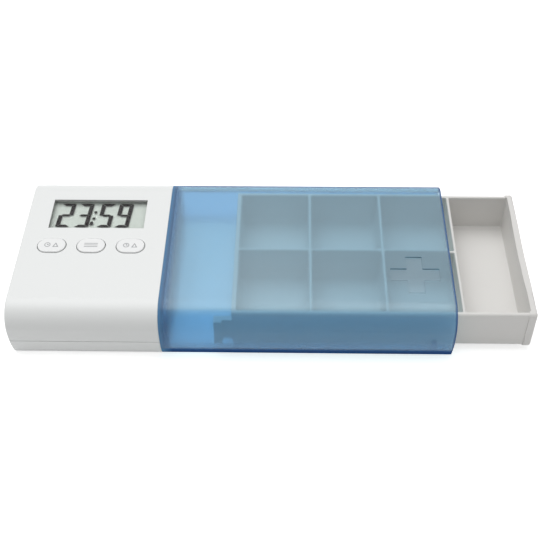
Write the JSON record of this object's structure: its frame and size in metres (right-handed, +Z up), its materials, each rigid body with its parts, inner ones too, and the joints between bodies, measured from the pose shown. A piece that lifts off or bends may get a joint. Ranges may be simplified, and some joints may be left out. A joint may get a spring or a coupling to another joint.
{
  "type": "electronic pill box",
  "caption": "Pocket pill box with a digital timer, a see-through sleeve and a sliding compartment tray.",
  "frame": {"origin": "Centre of the closed body's underside, which rests on the table; the tray at rest is pulled partly out along +X", "axes": "+X from the timer's closed end towards the sleeve's open mouth, +Y away from the user, +Z up"},
  "size_m": [0.1651, 0.065, 0.0204],
  "materials": {
    "case_white": "fine satin moulding",
    "window_clear": "clear and polished",
    "lcd_glass": "polished",
    "lcd_ink": "dark liquid crystal",
    "lcd_film": "fine metallic reflecting film",
    "holder_plastic": "plain moulding",
    "strip_rubber": "fine dark and light stripes",
    "board_laminate": "green solder mask",
    "chip_black": "set resin drop",
    "plated_steel": "bright nickel plate",
    "component_body": "plain ceramic chips",
    "switch_black": "plain moulding",
    "sounder_brass": "rolled sheet",
    "sounder_ceramic": "silvered ceramic",
    "cell_steel": "bright nickel plate",
    "door_white": "fine satin moulding",
    "screw_steel": "zinc plate",
    "sleeve_blue": "frosted see-through blue",
    "tray_white": "smooth moulding",
    "button_white": "fine satin moulding"
  },
  "bodies": {
    "housing": {"timer_upper_shell": "case_white", "timer_lower_cover": "case_white", "display_window": "window_clear", "lcd_front_glass": "lcd_glass", "lcd_segments": "lcd_ink", "lcd_rear_glass": "lcd_glass", "lcd_reflector": "lcd_film", "lcd_holder": "holder_plastic", "contact_strip": "strip_rubber", "circuit_board": "board_laminate", "chip_resin": "chip_black", "quartz_crystal": "plated_steel", "board_components": "component_body", "switch_bodies": "switch_black", "sounder_plate": "sounder_brass", "sounder_ceramic": "sounder_ceramic", "sounder_contacts": "plated_steel", "coin_cell": "cell_steel", "battery_contact_positive": "plated_steel", "battery_contact_negative": "plated_steel", "case_screws": "screw_steel", "board_screws": "screw_steel", "sleeve": "sleeve_blue"},
    "sliding_tray": {"tray": "tray_white"},
    "left_key": {"left_button": "button_white", "left_plunger": "switch_black"},
    "middle_key": {"middle_button": "button_white", "middle_plunger": "switch_black"},
    "right_key": {"right_button": "button_white", "right_plunger": "switch_black"},
    "turning_door": {"battery_door": "door_white"}
  },
  "joints": [
    {"name": "tray_slide", "type": "slide", "parent": "housing", "child": "sliding_tray", "axis": [1, 0, 0], "range_m": [-0.0207, 0.066]},
    {"name": "left_button_press", "type": "slide", "parent": "housing", "child": "left_key", "axis": [0, 0, -1], "range_m": [0, 0.0005], "stiffness_N_per_m": 2000},
    {"name": "middle_button_press", "type": "slide", "parent": "housing", "child": "middle_key", "axis": [0, 0, -1], "range_m": [0, 0.0005], "stiffness_N_per_m": 2000},
    {"name": "right_button_press", "type": "slide", "parent": "housing", "child": "right_key", "axis": [0, 0, -1], "range_m": [0, 0.0005], "stiffness_N_per_m": 2000},
    {"name": "battery_door_turn", "type": "hinge", "parent": "housing", "child": "turning_door", "pos_m": [-0.046, 0.01, 0], "axis": [0, 0, 1], "range_deg": [-50, 0]}
  ]
}
